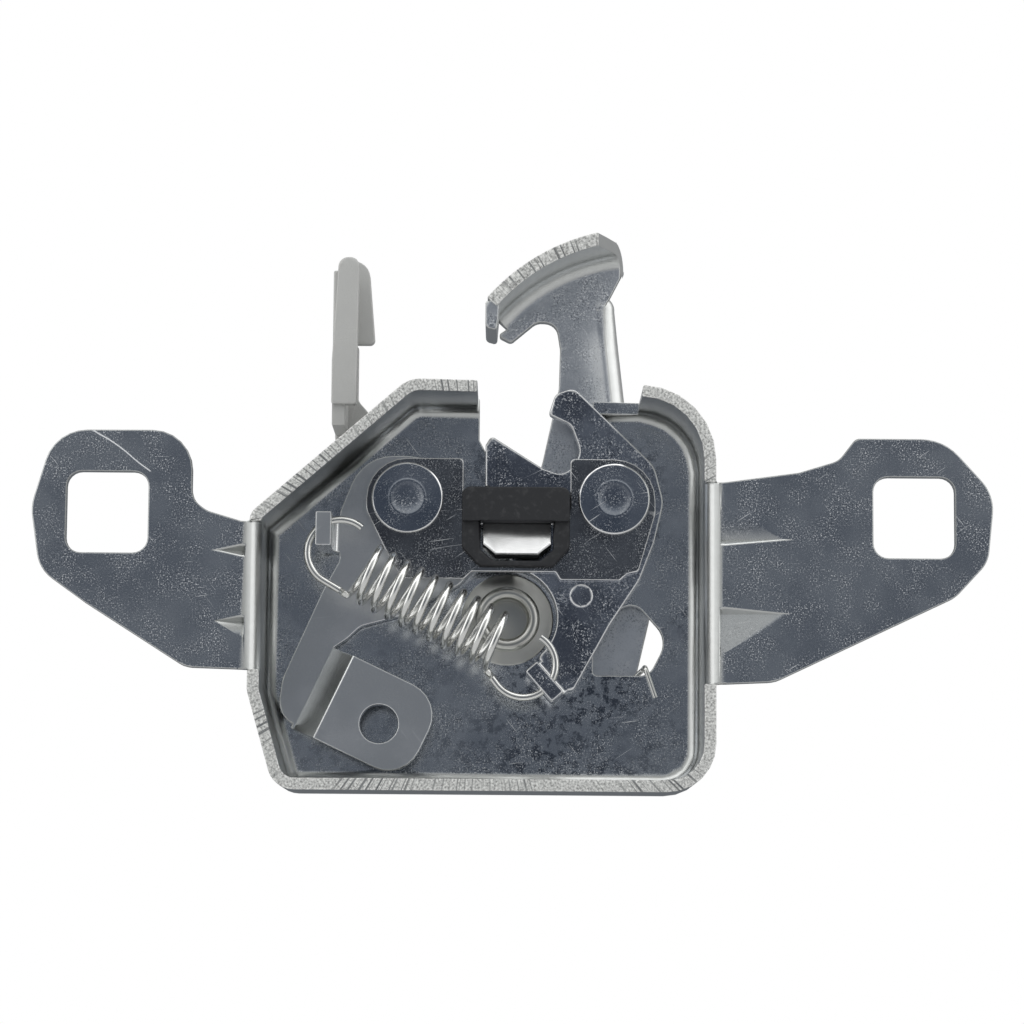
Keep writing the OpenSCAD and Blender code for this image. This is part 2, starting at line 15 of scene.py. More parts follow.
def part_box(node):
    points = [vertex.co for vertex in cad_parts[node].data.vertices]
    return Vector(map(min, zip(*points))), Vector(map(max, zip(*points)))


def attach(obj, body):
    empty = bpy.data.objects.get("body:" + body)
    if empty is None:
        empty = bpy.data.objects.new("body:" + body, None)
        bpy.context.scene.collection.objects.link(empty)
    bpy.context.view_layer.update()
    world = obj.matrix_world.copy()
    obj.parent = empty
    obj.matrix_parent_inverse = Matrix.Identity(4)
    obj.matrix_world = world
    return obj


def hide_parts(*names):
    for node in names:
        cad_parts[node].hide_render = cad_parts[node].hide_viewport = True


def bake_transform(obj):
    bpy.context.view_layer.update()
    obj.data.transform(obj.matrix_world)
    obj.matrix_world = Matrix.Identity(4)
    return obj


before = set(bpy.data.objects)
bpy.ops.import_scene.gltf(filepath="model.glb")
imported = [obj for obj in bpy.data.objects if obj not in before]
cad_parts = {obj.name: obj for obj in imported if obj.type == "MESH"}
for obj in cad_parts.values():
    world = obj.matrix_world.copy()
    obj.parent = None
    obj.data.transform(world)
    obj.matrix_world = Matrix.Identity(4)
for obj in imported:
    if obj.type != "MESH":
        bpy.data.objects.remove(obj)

log = logging.getLogger("bonnet_latch")

MM = 0.001
TINY = 1e-6
X, Y, Z = range(3)
MIX_A, MIX_B, MIX_RESULT = 6, 7, 2  # colour sockets of Blender's Mix node
WHITE = (1.0, 1.0, 1.0)
BUMP_DEPTH = 0.1 * MM
FLAT_TURN = 1.2  # degrees below which neighbouring faces count as one flat
SHARP_TURN = 40.0  # degrees from which an outer edge is chamfered
CREASE_TURN = 32.0  # degrees from which shading breaks
FRONT_NORMAL = -0.3  # y of the normal below which a face counts as facing front

Point = tuple[float, float, float]
Colour = tuple[float, float, float]
Span = tuple[float, float]


class Body(str, Enum):
    """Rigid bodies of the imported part."""

    FRAME = "frame"
    CLAW = "claw"
    LEVER = "release_lever"
    HOOK = "safety_hook"


class Slot(str, Enum):
    """Material slots of the record."""

    SHEET = "zinc_sheet"
    PLATE = "zinc_plate"
    LEVER = "lever_steel"
    RIVET = "rivet_steel"
    WIRE = "spring_wire"
    RUBBER = "black_rubber"


@dataclass(frozen=True)
class Noise:
    """A noise texture: cells per metre, octaves and weight of the finer octaves."""

    scale: float
    detail: float = 3.0
    rough: float = 0.55


class Graph:
    """Small helper round one shader node tree."""

    def __init__(self, tree: bpy.types.NodeTree) -> None:
        """Empties the tree.

        Args:
            tree: the tree to fill.
        """
        self.tree = tree
        tree.nodes.clear()

    def node(self, kind: str, **sockets: object) -> bpy.types.Node:
        """Adds a node and sets or links its inputs.

        Args:
            kind: node type without the ShaderNode prefix.
            sockets: input names with underscores for spaces, each a value or an output to link.

        Returns:
            The new node.
        """
        made = self.tree.nodes.new("ShaderNode" + kind)
        for name, value in sockets.items():
            self.feed(made.inputs[name.replace("_", " ")], value)
        return made

    def feed(self, socket: bpy.types.NodeSocket, value: object) -> None:
        """Links an output to the socket, or sets a constant on it.

        Args:
            socket: the input.
            value: an output socket or a constant.
        """
        if isinstance(value, bpy.types.NodeSocket):
            self.tree.links.new(value, socket)
        else:
            socket.default_value = value

    def maths(self, operation: str, a: object, b: object = 0.0) -> bpy.types.NodeSocket:
        """Adds a maths node.

        Args:
            operation: Blender's name of the operation.
            a: first operand, a number or an output.
            b: second operand.

        Returns:
            The result.
        """
        made = self.tree.nodes.new("ShaderNodeMath")
        made.operation = operation
        self.feed(made.inputs[0], a)
        self.feed(made.inputs[1], b)
        return made.outputs[0]

    def ramp(self, value: bpy.types.NodeSocket, low: float, high: float,
             out: Span = (0.0, 1.0)) -> bpy.types.NodeSocket:
        """Maps a value smoothly from low..high to an output range.

        Args:
            value: the input value.
            low: value that gives the first output.
            high: value that gives the second output.
            out: the two outputs.

        Returns:
            The mapped value.
        """
        made = self.node("MapRange", Value=value, From_Min=low, From_Max=high, To_Min=out[0], To_Max=out[1])
        made.interpolation_type = "SMOOTHSTEP"
        return made.outputs[0]

    def noise(self, where: bpy.types.NodeSocket, kind: Noise) -> bpy.types.NodeSocket:
        """Adds a noise texture.

        Args:
            where: coordinates.
            kind: its scale and octaves.

        Returns:
            The noise value.
        """
        made = self.node("TexNoise", Vector=where, Scale=kind.scale, Detail=kind.detail, Roughness=kind.rough)
        return made.outputs[0]

    def part(self, vector: bpy.types.NodeSocket, axis: int) -> bpy.types.NodeSocket:
        """Takes one coordinate of a vector.

        Args:
            vector: the vector.
            axis: X, Y or Z.

        Returns:
            The coordinate.
        """
        return self.node("SeparateXYZ", Vector=vector).outputs[axis]

    def stretched(self, where: bpy.types.NodeSocket, scale: Point, turn: float) -> bpy.types.NodeSocket:
        """Turns coordinates about Y and stretches them, for scratches and drawing lines.

        Args:
            where: coordinates.
            scale: factor along each axis.
            turn: angle about Y in degrees.

        Returns:
            The new coordinates.
        """
        turned = self.node("Mapping", Vector=where, Rotation=(0.0, math.radians(turn), 0.0))
        return self.node("Mapping", Vector=turned.outputs[0], Scale=scale).outputs[0]

    def scaled(self, colour: object, factor: bpy.types.NodeSocket) -> bpy.types.NodeSocket:
        """Multiplies a colour by a number.

        Args:
            colour: the colour, three numbers or an output.
            factor: the number.

        Returns:
            The scaled colour.
        """
        made = self.tree.nodes.new("ShaderNodeVectorMath")
        made.operation = "SCALE"
        self.feed(made.inputs[0], colour)
        self.feed(made.inputs["Scale"], factor)
        return made.outputs[0]

    def mix(self, share: object, a: object, b: object) -> bpy.types.NodeSocket:
        """Mixes two colours.

        Args:
            share: weight of the second colour.
            a: first colour, three numbers or an output.
            b: second colour.

        Returns:
            The mixed colour.
        """
        made = self.tree.nodes.new("ShaderNodeMix")
        made.data_type = "RGBA"
        self.feed(made.inputs["Factor"], share)
        for socket, value in ((made.inputs[MIX_A], a), (made.inputs[MIX_B], b)):
            self.feed(socket, value if isinstance(value, bpy.types.NodeSocket) else (*value, 1.0))
        return made.outputs[MIX_RESULT]


@dataclass(frozen=True)
class Gouge:
    """One long scratch: its middle in x and z, its length and its angle from the x axis."""

    x: float
    z: float
    length: float
    turn: float
    half_width: Span = (0.16, 0.08)
    sway: float = 2.0
    sway_noise: Noise = Noise(90.0, 1.0)
    end_share: Span = (1 / 2, 1 / 2.2)


@dataclass(frozen=True)
class Metal:
    """Plated steel: smooth on bends and edges, speckled and stained on flats that face front or back; where a
    finish sets these flats far darker than its bends, that darkness is painted shade.

    Each span of two noise values gives where a mark starts and where it is full.
    """

    name: str
    smooth: Colour
    flat: tuple[Colour, Colour]
    rough: Span = (0.17, 0.28)
    flat_from: Span = (0.95, 0.995)
    clouds: Noise = Noise(60.0, 5.0, 0.6)
    cloud_span: Span = (0.40, 0.62)
    grain_noise: Noise = Noise(3600.0, 2.0, 0.6)
    dense_noise: Noise = Noise(190.0)
    dense_span: Span = (0.35, 0.65)
    dense_least: float = 0.15
    specks: float = 0.7
    speck_span: Span = (0.53, 0.68)
    speck_colour: Colour = (0.95, 0.96, 0.97)
    speck_rough: float = 0.5
    pits: float = 0.6
    pit_span: Span = (0.48, 0.32)
    pit_colour: Colour = (0.04, 0.05, 0.07)
    stain: float = 0.0
    stain_colour: Colour = (0.10, 0.12, 0.16)
    stain_from: Span = (12.0 * MM, 18.0 * MM)
    stain_side: Span = (-15.0 * MM, 8.0 * MM)
    stain_least: float = 0.35
    stain_fields: Noise = Noise(45.0, 2.0)
    stain_field_span: Span = (0.36, 0.58)
    stain_flecks: Noise = Noise(560.0, 6.0, 0.74)
    stain_fleck_span: Span = (0.49, 0.57)
    scratch: float = 0.7
    scratch_turns: tuple[Span, ...] = ((33.0, 0.0), (-52.0, 3.7), (8.0, 9.1))
    scratch_stretch: Point = (90.0, 200.0, 2600.0)
    scratch_span: Span = (0.74, 0.79)
    draw_lines: float = 0.03
    draw_stretch: Point = (700.0, 30.0, 700.0)
    draw_span: Span = (0.3, 0.7)
    grain: float = 0.12
    wave: float = 0.3
    wave_noise: Noise = Noise(60.0, 1.0)
    bump: float = 0.5
    metallic: float = 1.0
    gouges: tuple[Gouge, ...] = ()
    dull_x: Span | None = None
    dull_colour: Colour = (0.50, 0.50, 0.49)
    dull_metallic: float = 0.35
    dull_rough: float = 0.14

    def build(self) -> bpy.types.Material:
        """Makes the material.

        Returns:
            The material, procedural on object coordinates.
        """
        mat = bpy.data.materials.new(self.name)
        mat.use_nodes = True
        g = Graph(mat.node_tree)
        spot = g.node("TexCoord").outputs
        where = spot["Object"]
        level = g.ramp(g.maths("ABSOLUTE", g.part(spot["Normal"], Y)), *self.flat_from)
        grain = g.noise(where, self.grain_noise)
        dense = g.ramp(g.noise(where, self.dense_noise), *self.dense_span, (self.dense_least, 1.0))
        specks = g.maths("MULTIPLY", g.ramp(grain, *self.speck_span, (0.0, self.specks)), dense)
        pits = g.maths("MULTIPLY", g.ramp(grain, *self.pit_span, (0.0, self.pits)), dense)
        lines = g.maths("MULTIPLY", self.scratches(g, where), self.scratch)
        for gouge in self.gouges:
            lines = g.maths("MAXIMUM", lines, self.gouge_line(g, where, gouge))
        flat = g.mix(g.ramp(g.noise(where, self.clouds), *self.cloud_span), *self.flat)
        if self.stain:
            inside = g.ramp(g.part(where, Y), *self.stain_from, (0.0, self.stain))
            flat = g.mix(g.maths("MULTIPLY", self.stains(g, where), inside), flat, self.stain_colour)
        flat = g.mix(pits, flat, self.pit_colour)
        bright = g.maths("MAXIMUM", specks, lines)
        flat = g.mix(bright, flat, self.speck_colour)
        drawn = g.noise(g.stretched(where, self.draw_stretch, 0.0), Noise(1.0))
        span = (1.0 - self.draw_lines, 1.0 + self.draw_lines)
        bend = g.scaled(self.smooth, g.ramp(drawn, *self.draw_span, span))
        # Flats turned front or back take the flat tones, bends and edges the smooth tone; on the claw, bridge
        # and rivet plating the flats are set dark, painted shade over their real speckle and blue tint.
        colour = g.mix(level, bend, flat)
        loose = g.maths("MULTIPLY", bright, g.maths("MULTIPLY", level, self.speck_rough))
        rough = g.maths("ADD", g.ramp(level, 0.0, 1.0, (self.rough[1], self.rough[0])), loose)
        metallic = self.metallic
        if self.dull_x:
            dull = g.ramp(g.part(where, X), *self.dull_x)
            colour = g.mix(dull, colour, self.dull_colour)
            metallic = g.ramp(dull, 0.0, 1.0, (self.metallic, self.dull_metallic))
            rough = g.maths("ADD", rough, g.maths("MULTIPLY", dull, self.dull_rough))
        height = g.maths("MULTIPLY", grain, g.maths("MULTIPLY", level, self.grain))
        height = g.maths("ADD", height, g.maths("MULTIPLY", g.noise(where, self.wave_noise), self.wave))
        bump = g.node("Bump", Strength=self.bump, Distance=BUMP_DEPTH, Height=height)
        shader = g.node("BsdfPrincipled", Base_Color=colour, Metallic=metallic, Roughness=rough,
                        Normal=bump.outputs[0])
        g.feed(g.node("OutputMaterial").inputs["Surface"], shader.outputs[0])
        return mat

    def stains(self, g: Graph, where: bpy.types.NodeSocket) -> bpy.types.NodeSocket:
        """Draws fields of dark flecks, more of them to the right.

        Args:
            g: the tree.
            where: coordinates.

        Returns:
            A mask of the flecks.
        """
        side = g.ramp(g.part(where, X), *self.stain_side, (self.stain_least, 1.0))
        fields = g.maths("MULTIPLY", side, g.ramp(g.noise(where, self.stain_fields), *self.stain_field_span))
        flecks = g.ramp(g.noise(where, self.stain_flecks), *self.stain_fleck_span)
        return g.maths("MULTIPLY", fields, flecks)

    @staticmethod
    def gouge_line(g: Graph, where: bpy.types.NodeSocket, gouge: Gouge) -> bpy.types.NodeSocket:
        """Draws one long bright scratch.

        Args:
            g: the tree.
            where: coordinates.
            gouge: the scratch.

        Returns:
            A mask of the line.
        """
        moved = g.node("Mapping", Vector=where, Location=(-gouge.x * MM, 0.0, -gouge.z * MM)).outputs[0]
        turned_to = g.node("Mapping", Vector=moved, Rotation=(0.0, math.radians(gouge.turn), 0.0)).outputs[0]
        place = g.node("SeparateXYZ", Vector=turned_to).outputs
        sway = g.maths("MULTIPLY", g.maths("SUBTRACT", g.noise(where, gouge.sway_noise), 0.5), gouge.sway * MM)
        off = g.maths("ABSOLUTE", g.maths("ADD", place[Z], sway))
        near = g.ramp(off, *(w * MM for w in gouge.half_width))
        ends = (gouge.length * share * MM for share in gouge.end_share)
        return g.maths("MULTIPLY", near, g.ramp(g.maths("ABSOLUTE", place[X]), *ends))

    def scratches(self, g: Graph, where: bpy.types.NodeSocket) -> bpy.types.NodeSocket:
        """Draws thin lines in several directions.

        Args:
            g: the tree.
            where: coordinates.

        Returns:
            A mask of the lines.
        """
        lines = None
        for turn, shift in self.scratch_turns:
            spot = g.node("Mapping", Vector=where, Location=(shift, shift, shift)).outputs[0]
            streaks = g.noise(g.stretched(spot, self.scratch_stretch, turn), Noise(1.0, 1.0))
            line = g.ramp(streaks, *self.scratch_span)
            lines = line if lines is None else g.maths("MAXIMUM", lines, line)
        return lines


@dataclass(frozen=True)
class ShearedEdge:
    """Cut edge of the sheet: bright, with fine dark marks across it that run out from one centre."""

    name: str
    centre: Span
    reach: float
    light: Colour = (0.80, 0.80, 0.78)
    dark: Colour = (0.12, 0.13, 0.14)
    marks: Noise = Noise(1500.0, 2.0)
    mark_span: Span = (0.50, 0.58)
    wear: Noise = Noise(70.0, 2.0)
    wear_span: Span = (0.38, 0.60)
    grain: Noise = Noise(2400.0, 2.0)
    grain_span: Span = (0.3, 0.7)
    break_span: Span = (0.3, 0.6)
    break_out: Span = (0.5, 1.0)
    light_out: Span = (0.55, 1.1)
    rough: Span = (0.25, 0.5)
    bump: float = 0.5
    metallic: float = 0.45

    def build(self) -> bpy.types.Material:
        """Makes the material.

        Returns:
            The material, procedural on object coordinates.
        """
        mat = bpy.data.materials.new(self.name)
        mat.use_nodes = True
        g = Graph(mat.node_tree)
        where = g.node("TexCoord").outputs["Object"]
        place = g.node("SeparateXYZ", Vector=where).outputs
        across = g.maths("SUBTRACT", place[X], self.centre[0] * MM)
        up = g.maths("SUBTRACT", place[Z], self.centre[1] * MM)
        run = g.maths("MULTIPLY", g.maths("ARCTAN2", up, across), self.reach * MM)
        along = g.node("CombineXYZ", X=run).outputs[0]
        ticks = g.ramp(g.noise(along, self.marks), *self.mark_span)
        worn = g.ramp(g.noise(where, self.wear), *self.wear_span)
        grain = g.noise(where, self.grain)
        broken = g.ramp(grain, *self.break_span, self.break_out)
        ticks = g.maths("MULTIPLY", ticks, g.maths("MULTIPLY", worn, broken))
        colour = g.mix(ticks, self.light, self.dark)
        colour = g.scaled(colour, g.ramp(grain, *self.grain_span, self.light_out))
        rough = g.ramp(grain, *self.grain_span, self.rough)
        bump = g.node("Bump", Strength=self.bump, Distance=BUMP_DEPTH, Height=g.maths("SUBTRACT", grain, ticks))
        shader = g.node("BsdfPrincipled", Base_Color=colour, Metallic=self.metallic, Roughness=rough,
                        Normal=bump.outputs[0])
        g.feed(g.node("OutputMaterial").inputs["Surface"], shader.outputs[0])
        return mat


@dataclass(frozen=True)
class Rubber:
    """Matt black rubber."""

    name: str
    colour: Colour
    rough: float = 0.62
    dust: float = 0.3
    dust_colour: Colour = (0.09, 0.09, 0.095)
    dust_noise: Noise = Noise(900.0, 4.0)
    dust_span: Span = (0.5, 0.8)
    grain: Noise = Noise(2200.0, 3.0)
    bump: float = 0.2

    def build(self) -> bpy.types.Material:
        """Makes the material.

        Returns:
            The material.
        """
        mat = bpy.data.materials.new(self.name)
        mat.use_nodes = True
        g = Graph(mat.node_tree)
        where = g.node("TexCoord").outputs["Object"]
        dust = g.ramp(g.noise(where, self.dust_noise), *self.dust_span)
        colour = g.mix(g.maths("MULTIPLY", dust, self.dust), self.colour, self.dust_colour)
        bump = g.node("Bump", Strength=self.bump, Distance=BUMP_DEPTH, Height=g.noise(where, self.grain))
        shader = g.node("BsdfPrincipled", Base_Color=colour, Roughness=self.rough, Normal=bump.outputs[0])
        g.feed(g.node("OutputMaterial").inputs["Surface"], shader.outputs[0])
        return mat


class Finishes:
    """Builds each finish once and hands it out by name."""

    def __init__(self, *finishes: Metal | ShearedEdge | Rubber) -> None:
        """Builds the materials.

        Args:
            finishes: the finishes to build.
        """
        self.made = {f.name: f.build() for f in finishes}

    def get(self, name: str) -> bpy.types.Material:
        """Finds a built finish.

        Args:
            name: the finish's name.

        Returns:
            Its material.
        """
        return self.made[name]


PAN_MIDDLE = (-5.0, -16.0)  # x and z from which the rim's marks run out
HEAD_MIDDLE = (25.2, 17.4)  # centre of the hook's curved head

# Each metal gives its smooth tone, then its pair of flat tones; zinc plate, bridge zinc and rivet steel set
# their flats far darker than their smooth tone, painted shade on the faces turned to the front.
FINISHES = (
    Metal("zinc sheet", (0.56, 0.57, 0.56), ((0.72, 0.745, 0.775), (0.55, 0.58, 0.625)),
          specks=0.85, pits=0.6, stain=0.9, gouges=(Gouge(-72.5, 11.5, 14.0, -36.0),)),
    Metal("zinc drawn", (0.60, 0.60, 0.57), ((0.60, 0.60, 0.57), (0.50, 0.50, 0.48)), (0.30, 0.30),
          specks=0.0, pits=0.0, scratch=0.0),
    Metal("hook plating", (0.62, 0.63, 0.62), ((0.90, 0.92, 0.95), (0.72, 0.75, 0.79)), (0.30, 0.32),
          specks=0.75, pits=0.5, scratch=0.8, dull_x=(-19.0 * MM, -27.0 * MM)),
    Metal("zinc plate", (0.84, 0.84, 0.84), ((0.52, 0.55, 0.61), (0.26, 0.28, 0.33)), (0.15, 0.22),
          specks=0.85, pits=0.8),
    Metal("bridge zinc", (0.84, 0.84, 0.84), ((0.34, 0.35, 0.37), (0.20, 0.205, 0.22)), (0.15, 0.22),
          specks=0.7, pits=0.8),
    Metal("lever steel", (0.78, 0.79, 0.79), ((0.70, 0.715, 0.74), (0.61, 0.63, 0.655)), (0.34, 0.25),
          specks=0.12, pits=0.05, scratch=0.2),
    Metal("rivet steel", (0.84, 0.84, 0.84), ((0.42, 0.455, 0.52), (0.27, 0.31, 0.38)), (0.15, 0.22),
          specks=0.7, pits=0.5),
    Metal("spring wire", (0.76, 0.76, 0.74), ((0.76, 0.76, 0.74), (0.66, 0.66, 0.64)), (0.20, 0.20),
          specks=0.0, pits=0.0, scratch=0.0, wave=0.0),
    ShearedEdge("rim sheared edge", PAN_MIDDLE, 50.0),
    ShearedEdge("hook sheared edge", HEAD_MIDDLE, 38.0),
    Rubber("black rubber", (0.014, 0.015, 0.018)),
)


@dataclass
class Pressing:
    """A CAD node shown as a copy with fine edge chamfers. Lengths are in millimetres."""

    node: str
    body: Body
    slot: Slot
    finish: str
    chamfer: float = 0.22
    extras: tuple[str, ...] = ()
    merge: float = 0.002
    chamfer_merge: float = 0.02
    chamfer_sliver: float = 0.01

    def build(self, finishes: Finishes) -> bpy.types.Object:
        """Makes the shown copy and swaps it in for the node.

        Args:
            finishes: the built finishes.

        Returns:
            The new object.
        """
        bm = bare_copy(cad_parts[self.node].data)
        bmesh.ops.remove_doubles(bm, verts=bm.verts, dist=self.merge * MM)
        bmesh.ops.dissolve_degenerate(bm, edges=bm.edges, dist=self.merge * MM)
        bmesh.ops.dissolve_limit(bm, angle_limit=math.radians(FLAT_TURN), verts=bm.verts, edges=bm.edges)
        self.shape(bm)
        self.soften(bm)
        bmesh.ops.triangulate(bm, faces=bm.faces)
        self.mark(bm)
        obj = mesh_object(bm, "shown_" + self.node, finishes.get(self.finish))
        for extra in self.extras:
            obj.data.materials.append(finishes.get(extra))
        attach(obj, self.body.value)
        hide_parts(self.node)
        return obj

    def shape(self, bm: bmesh.types.BMesh) -> None:
        """Room for a kind of pressing to change its mesh before the chamfers.

        Args:
            bm: the merged copy.
        """

    def soften(self, bm: bmesh.types.BMesh) -> None:
        """Chamfers the sharp outer edges, and puts chamfer points that strayed off back on the surface.

        Args:
            bm: the merged copy.
        """
        if self.chamfer <= 0:
            return
        least = math.radians(SHARP_TURN)
        sharp = [e for e in bm.edges if len(e.link_faces) == 2 and e.calc_face_angle_signed(0.0) > least]
        surface = BVHTree.FromBMesh(bm)
        bmesh.ops.bevel(bm, geom=sharp, offset=self.chamfer * MM, offset_type="OFFSET", affect="EDGES",
                        segments=2, profile=0.5, material=-1, clamp_overlap=False)
        strays = 0
        for v in bm.verts:
            nearest, _, _, away = surface.find_nearest(v.co)
            if away > self.chamfer * MM:
                v.co = nearest
                strays += 1
        if strays:
            log.info("%s: %d chamfer points put back on the surface", self.node, strays)
        bmesh.ops.remove_doubles(bm, verts=bm.verts, dist=self.chamfer_merge * MM)
        bmesh.ops.dissolve_degenerate(bm, edges=bm.edges, dist=self.chamfer_sliver * MM)

    def mark(self, bm: bmesh.types.BMesh) -> None:
        """Room for a kind of pressing to give some faces an extra material.

        Args:
            bm: the finished copy.
        """


@dataclass
class PanPressing(Pressing):
    """The pan: its rim shows the sheared edge of the sheet, and its boss is drawn smooth."""

    left: float = -48.6
    right: float = 38.3
    boss_at: Span = (-0.5, -17.7)
    boss_r: float = 8.8
    boss_front: float = 18.9
    boss_back: float = 19.95
    boss_fall: float = 0.7
    rim_y: float = 0.45
    near: float = 0.1

    def off_boss(self, point: Vector) -> float:
        """Measures from the boss's axis.

        Args:
            point: a point in metres.

        Returns:
            Its distance in millimetres.
        """
        return math.hypot(point.x / MM - self.boss_at[0], point.z / MM - self.boss_at[1])

    def shape(self, bm: bmesh.types.BMesh) -> None:
        """Lets the boss fall away towards its edge, as a drawn one does.

        Args:
            bm: the merged copy.
        """
        def on_top(v: bmesh.types.BMVert) -> bool:
            """Tells whether a point lies on the boss's front face.

            Args:
                v: the point.

            Returns:
                True where it does.
            """
            level = abs(v.co.y / MM - self.boss_front) < self.near / 2
            return level and self.off_boss(v.co) < self.boss_r + self.near

        top = [f for f in bm.faces if all(on_top(v) for v in f.verts)]
        bmesh.ops.delete(bm, geom=top, context="FACES_ONLY")
        bmesh.ops.delete(bm, geom=[e for e in bm.edges if not e.link_faces], context="EDGES")
        rings = [e for e in bm.edges if len(e.link_faces) == 1 and all(on_top(v) for v in e.verts)]
        bmesh.ops.bridge_loops(bm, edges=rings)
        bmesh.ops.recalc_face_normals(bm, faces=bm.faces)
        for v in bm.verts:
            if on_top(v) and self.off_boss(v.co) > self.boss_r - self.near:
                v.co.y += self.boss_fall * MM

    def mark(self, bm: bmesh.types.BMesh) -> None:
        """Marks the front edge of the rim and the boss.

        Args:
            bm: the finished copy.
        """
        for f in bm.faces:
            c = f.calc_center_median()
            x, y = c.x / MM, c.y / MM
            on_rim = y < self.rim_y and self.left < x < self.right and f.normal.y < FRONT_NORMAL
            in_boss = self.boss_front - self.near < y < self.boss_back
            on_boss = in_boss and self.off_boss(c) < self.boss_r + self.near
            f.material_index = 1 if on_rim else 2 if on_boss else 0


@dataclass
class HookPressing(Pressing):
    """The safety hook: its stem rolls back to the right, and its head flange shows its cut front edge."""

    edge_y: float = 10.9
    edge_left: float = -10.0
    roll_foot: Span = (22.6, -2.0)
    roll_head: Span = (17.3, 44.0)
    roll_from: float = -6.5
    roll_back: float = 0.95
    fade_in: Span = (-2.0, 12.0)
    fade_out: Span = (36.0, 46.0)
    roll_cuts: int = 5
    fade_cuts: tuple[int, int] = (4, 5)
    grip_right: float = -24.0
    grip_out: float = 0.6

    def shape(self, bm: bmesh.types.BMesh) -> None:
        """Bends the right side of the stem back and sets the grip a little out.

        Args:
            bm: the merged copy.
        """
        foot = Vector((self.roll_foot[0], 0.0, self.roll_foot[1]))
        up = (Vector((self.roll_head[0], 0.0, self.roll_head[1])) - foot).normalized()
        out = Vector((up.z, 0.0, -up.x))
        planes = [(foot + out * self.roll_from * k / self.roll_cuts, out) for k in range(self.roll_cuts + 1)]
        fades = zip((self.fade_in, self.fade_out), self.fade_cuts)
        heights = np.concatenate([np.linspace(*fade, cuts) for fade, cuts in fades])
        planes += [(Vector((0.0, 0.0, z)), Vector((0.0, 0.0, 1.0))) for z in heights]
        for point, normal in planes:
            bmesh.ops.bisect_plane(bm, geom=[*bm.verts, *bm.edges, *bm.faces], dist=TINY, plane_co=point * MM,
                                   plane_no=normal)
        for v in bm.verts:
            spot = v.co / MM
            past = (spot - foot).dot(out) - self.roll_from
            if past > 0 and spot.x > 0:
                held = smooth_step(spot.z, *self.fade_in) * (1 - smooth_step(spot.z, *self.fade_out))
                v.co.y += self.roll_back * held * (past / self.roll_from) ** 2 * MM
            if spot.x < self.grip_right:
                v.co.x -= self.grip_out * MM

    def mark(self, bm: bmesh.types.BMesh) -> None:
        """Marks the cut edge of the head flange.

        Args:
            bm: the finished copy.
        """
        for f in bm.faces:
            c = f.calc_center_median() / MM
            on_edge = c.x > self.edge_left and c.y < self.edge_y and f.normal.y < FRONT_NORMAL
            f.material_index = int(on_edge)


def smooth_step(value: float, low: float, high: float) -> float:
    """Rises smoothly between two values.

    Args:
        value: the value.
        low: where the rise starts.
        high: where it ends.

    Returns:
        A number from 0 at low to 1 at high.
    """
    t = min(max((value - low) / (high - low), 0.0), 1.0)
    return t * t * (3 - 2 * t)


def bare_copy(source: bpy.types.Mesh) -> bmesh.types.BMesh:
    """Copies points and faces of a mesh, without its normals and other layers.

    Args:
        source: the mesh.

    Returns:
        A new bmesh.
    """
    bm = bmesh.new()
    points = [bm.verts.new(v.co) for v in source.vertices]
    for face in source.polygons:
        bm.faces.new([points[i] for i in face.vertices])
    return bm


def mesh_object(bm: bmesh.types.BMesh, name: str, *materials: bpy.types.Material) -> bpy.types.Object:
    """Turns a bmesh into a smooth-shaded object with sharp creases.

    Args:
        bm: the mesh, freed afterwards.
        name: name of the object.
        materials: its materials.

    Returns:
        The object, linked to the scene.
    """
    mesh = bpy.data.meshes.new(name)
    bm.to_mesh(mesh)
    bm.free()
    for mat in materials:
        mesh.materials.append(mat)
    mesh.shade_smooth()
    mesh.set_sharp_from_angle(angle=math.radians(CREASE_TURN))
    obj = bpy.data.objects.new(name, mesh)
    bpy.context.scene.collection.objects.link(obj)
    even = obj.modifiers.new("even shading", "WEIGHTED_NORMAL")
    even.keep_sharp = True
    return obj


def turned(profile: list[Span], at: Span, front: float, steps: int = 72) -> bmesh.types.BMesh:
    """Spins a half section about an axis along Y.

    Args:
        profile: pairs of radius and distance behind the front, in millimetres.
        at: the axis in x and z.
        front: y of the front.
        steps: faces round the axis.

    Returns:
        The closed solid in metres.
    """
    bm = bmesh.new()
    points = [bm.verts.new(Vector((at[0] + r, front + y, at[1])) * MM) for r, y in profile]
    edges = [bm.edges.new(pair) for pair in zip(points, points[1:])]
    bmesh.ops.spin(bm, geom=points + edges, cent=Vector((at[0], front, at[1])) * MM, axis=(0.0, 1.0, 0.0),
                   angle=2 * math.pi, steps=steps, use_merge=True)
    bmesh.ops.remove_doubles(bm, verts=bm.verts, dist=TINY)
    bmesh.ops.dissolve_degenerate(bm, edges=bm.edges, dist=TINY)
    bmesh.ops.recalc_face_normals(bm, faces=bm.faces)
    return bm


def rounded_route(corners: list[Point], radius: float, steps: int = 6, most: float = 0.45) -> np.ndarray:
    """Rounds the corners of a wire's route.

    Args:
        corners: points in millimetres.
        radius: distance from a corner at which its bend starts.
        steps: points in each bend.
        most: greatest share of a straight that one bend may take.

    Returns:
        The route's points.
    """
    spots = [np.array(c, float) for c in corners]
    route = [spots[0]]
    for a, b, c in zip(spots, spots[1:], spots[2:]):
        into = b + (a - b) * min(most, radius / np.linalg.norm(a - b))
        out = b + (c - b) * min(most, radius / np.linalg.norm(c - b))
        for k in range(steps + 1):
            t = k / steps
            route.append((1 - t) ** 2 * into + 2 * t * (1 - t) * b + t**2 * out)
    route.append(spots[-1])
    return np.array(route)


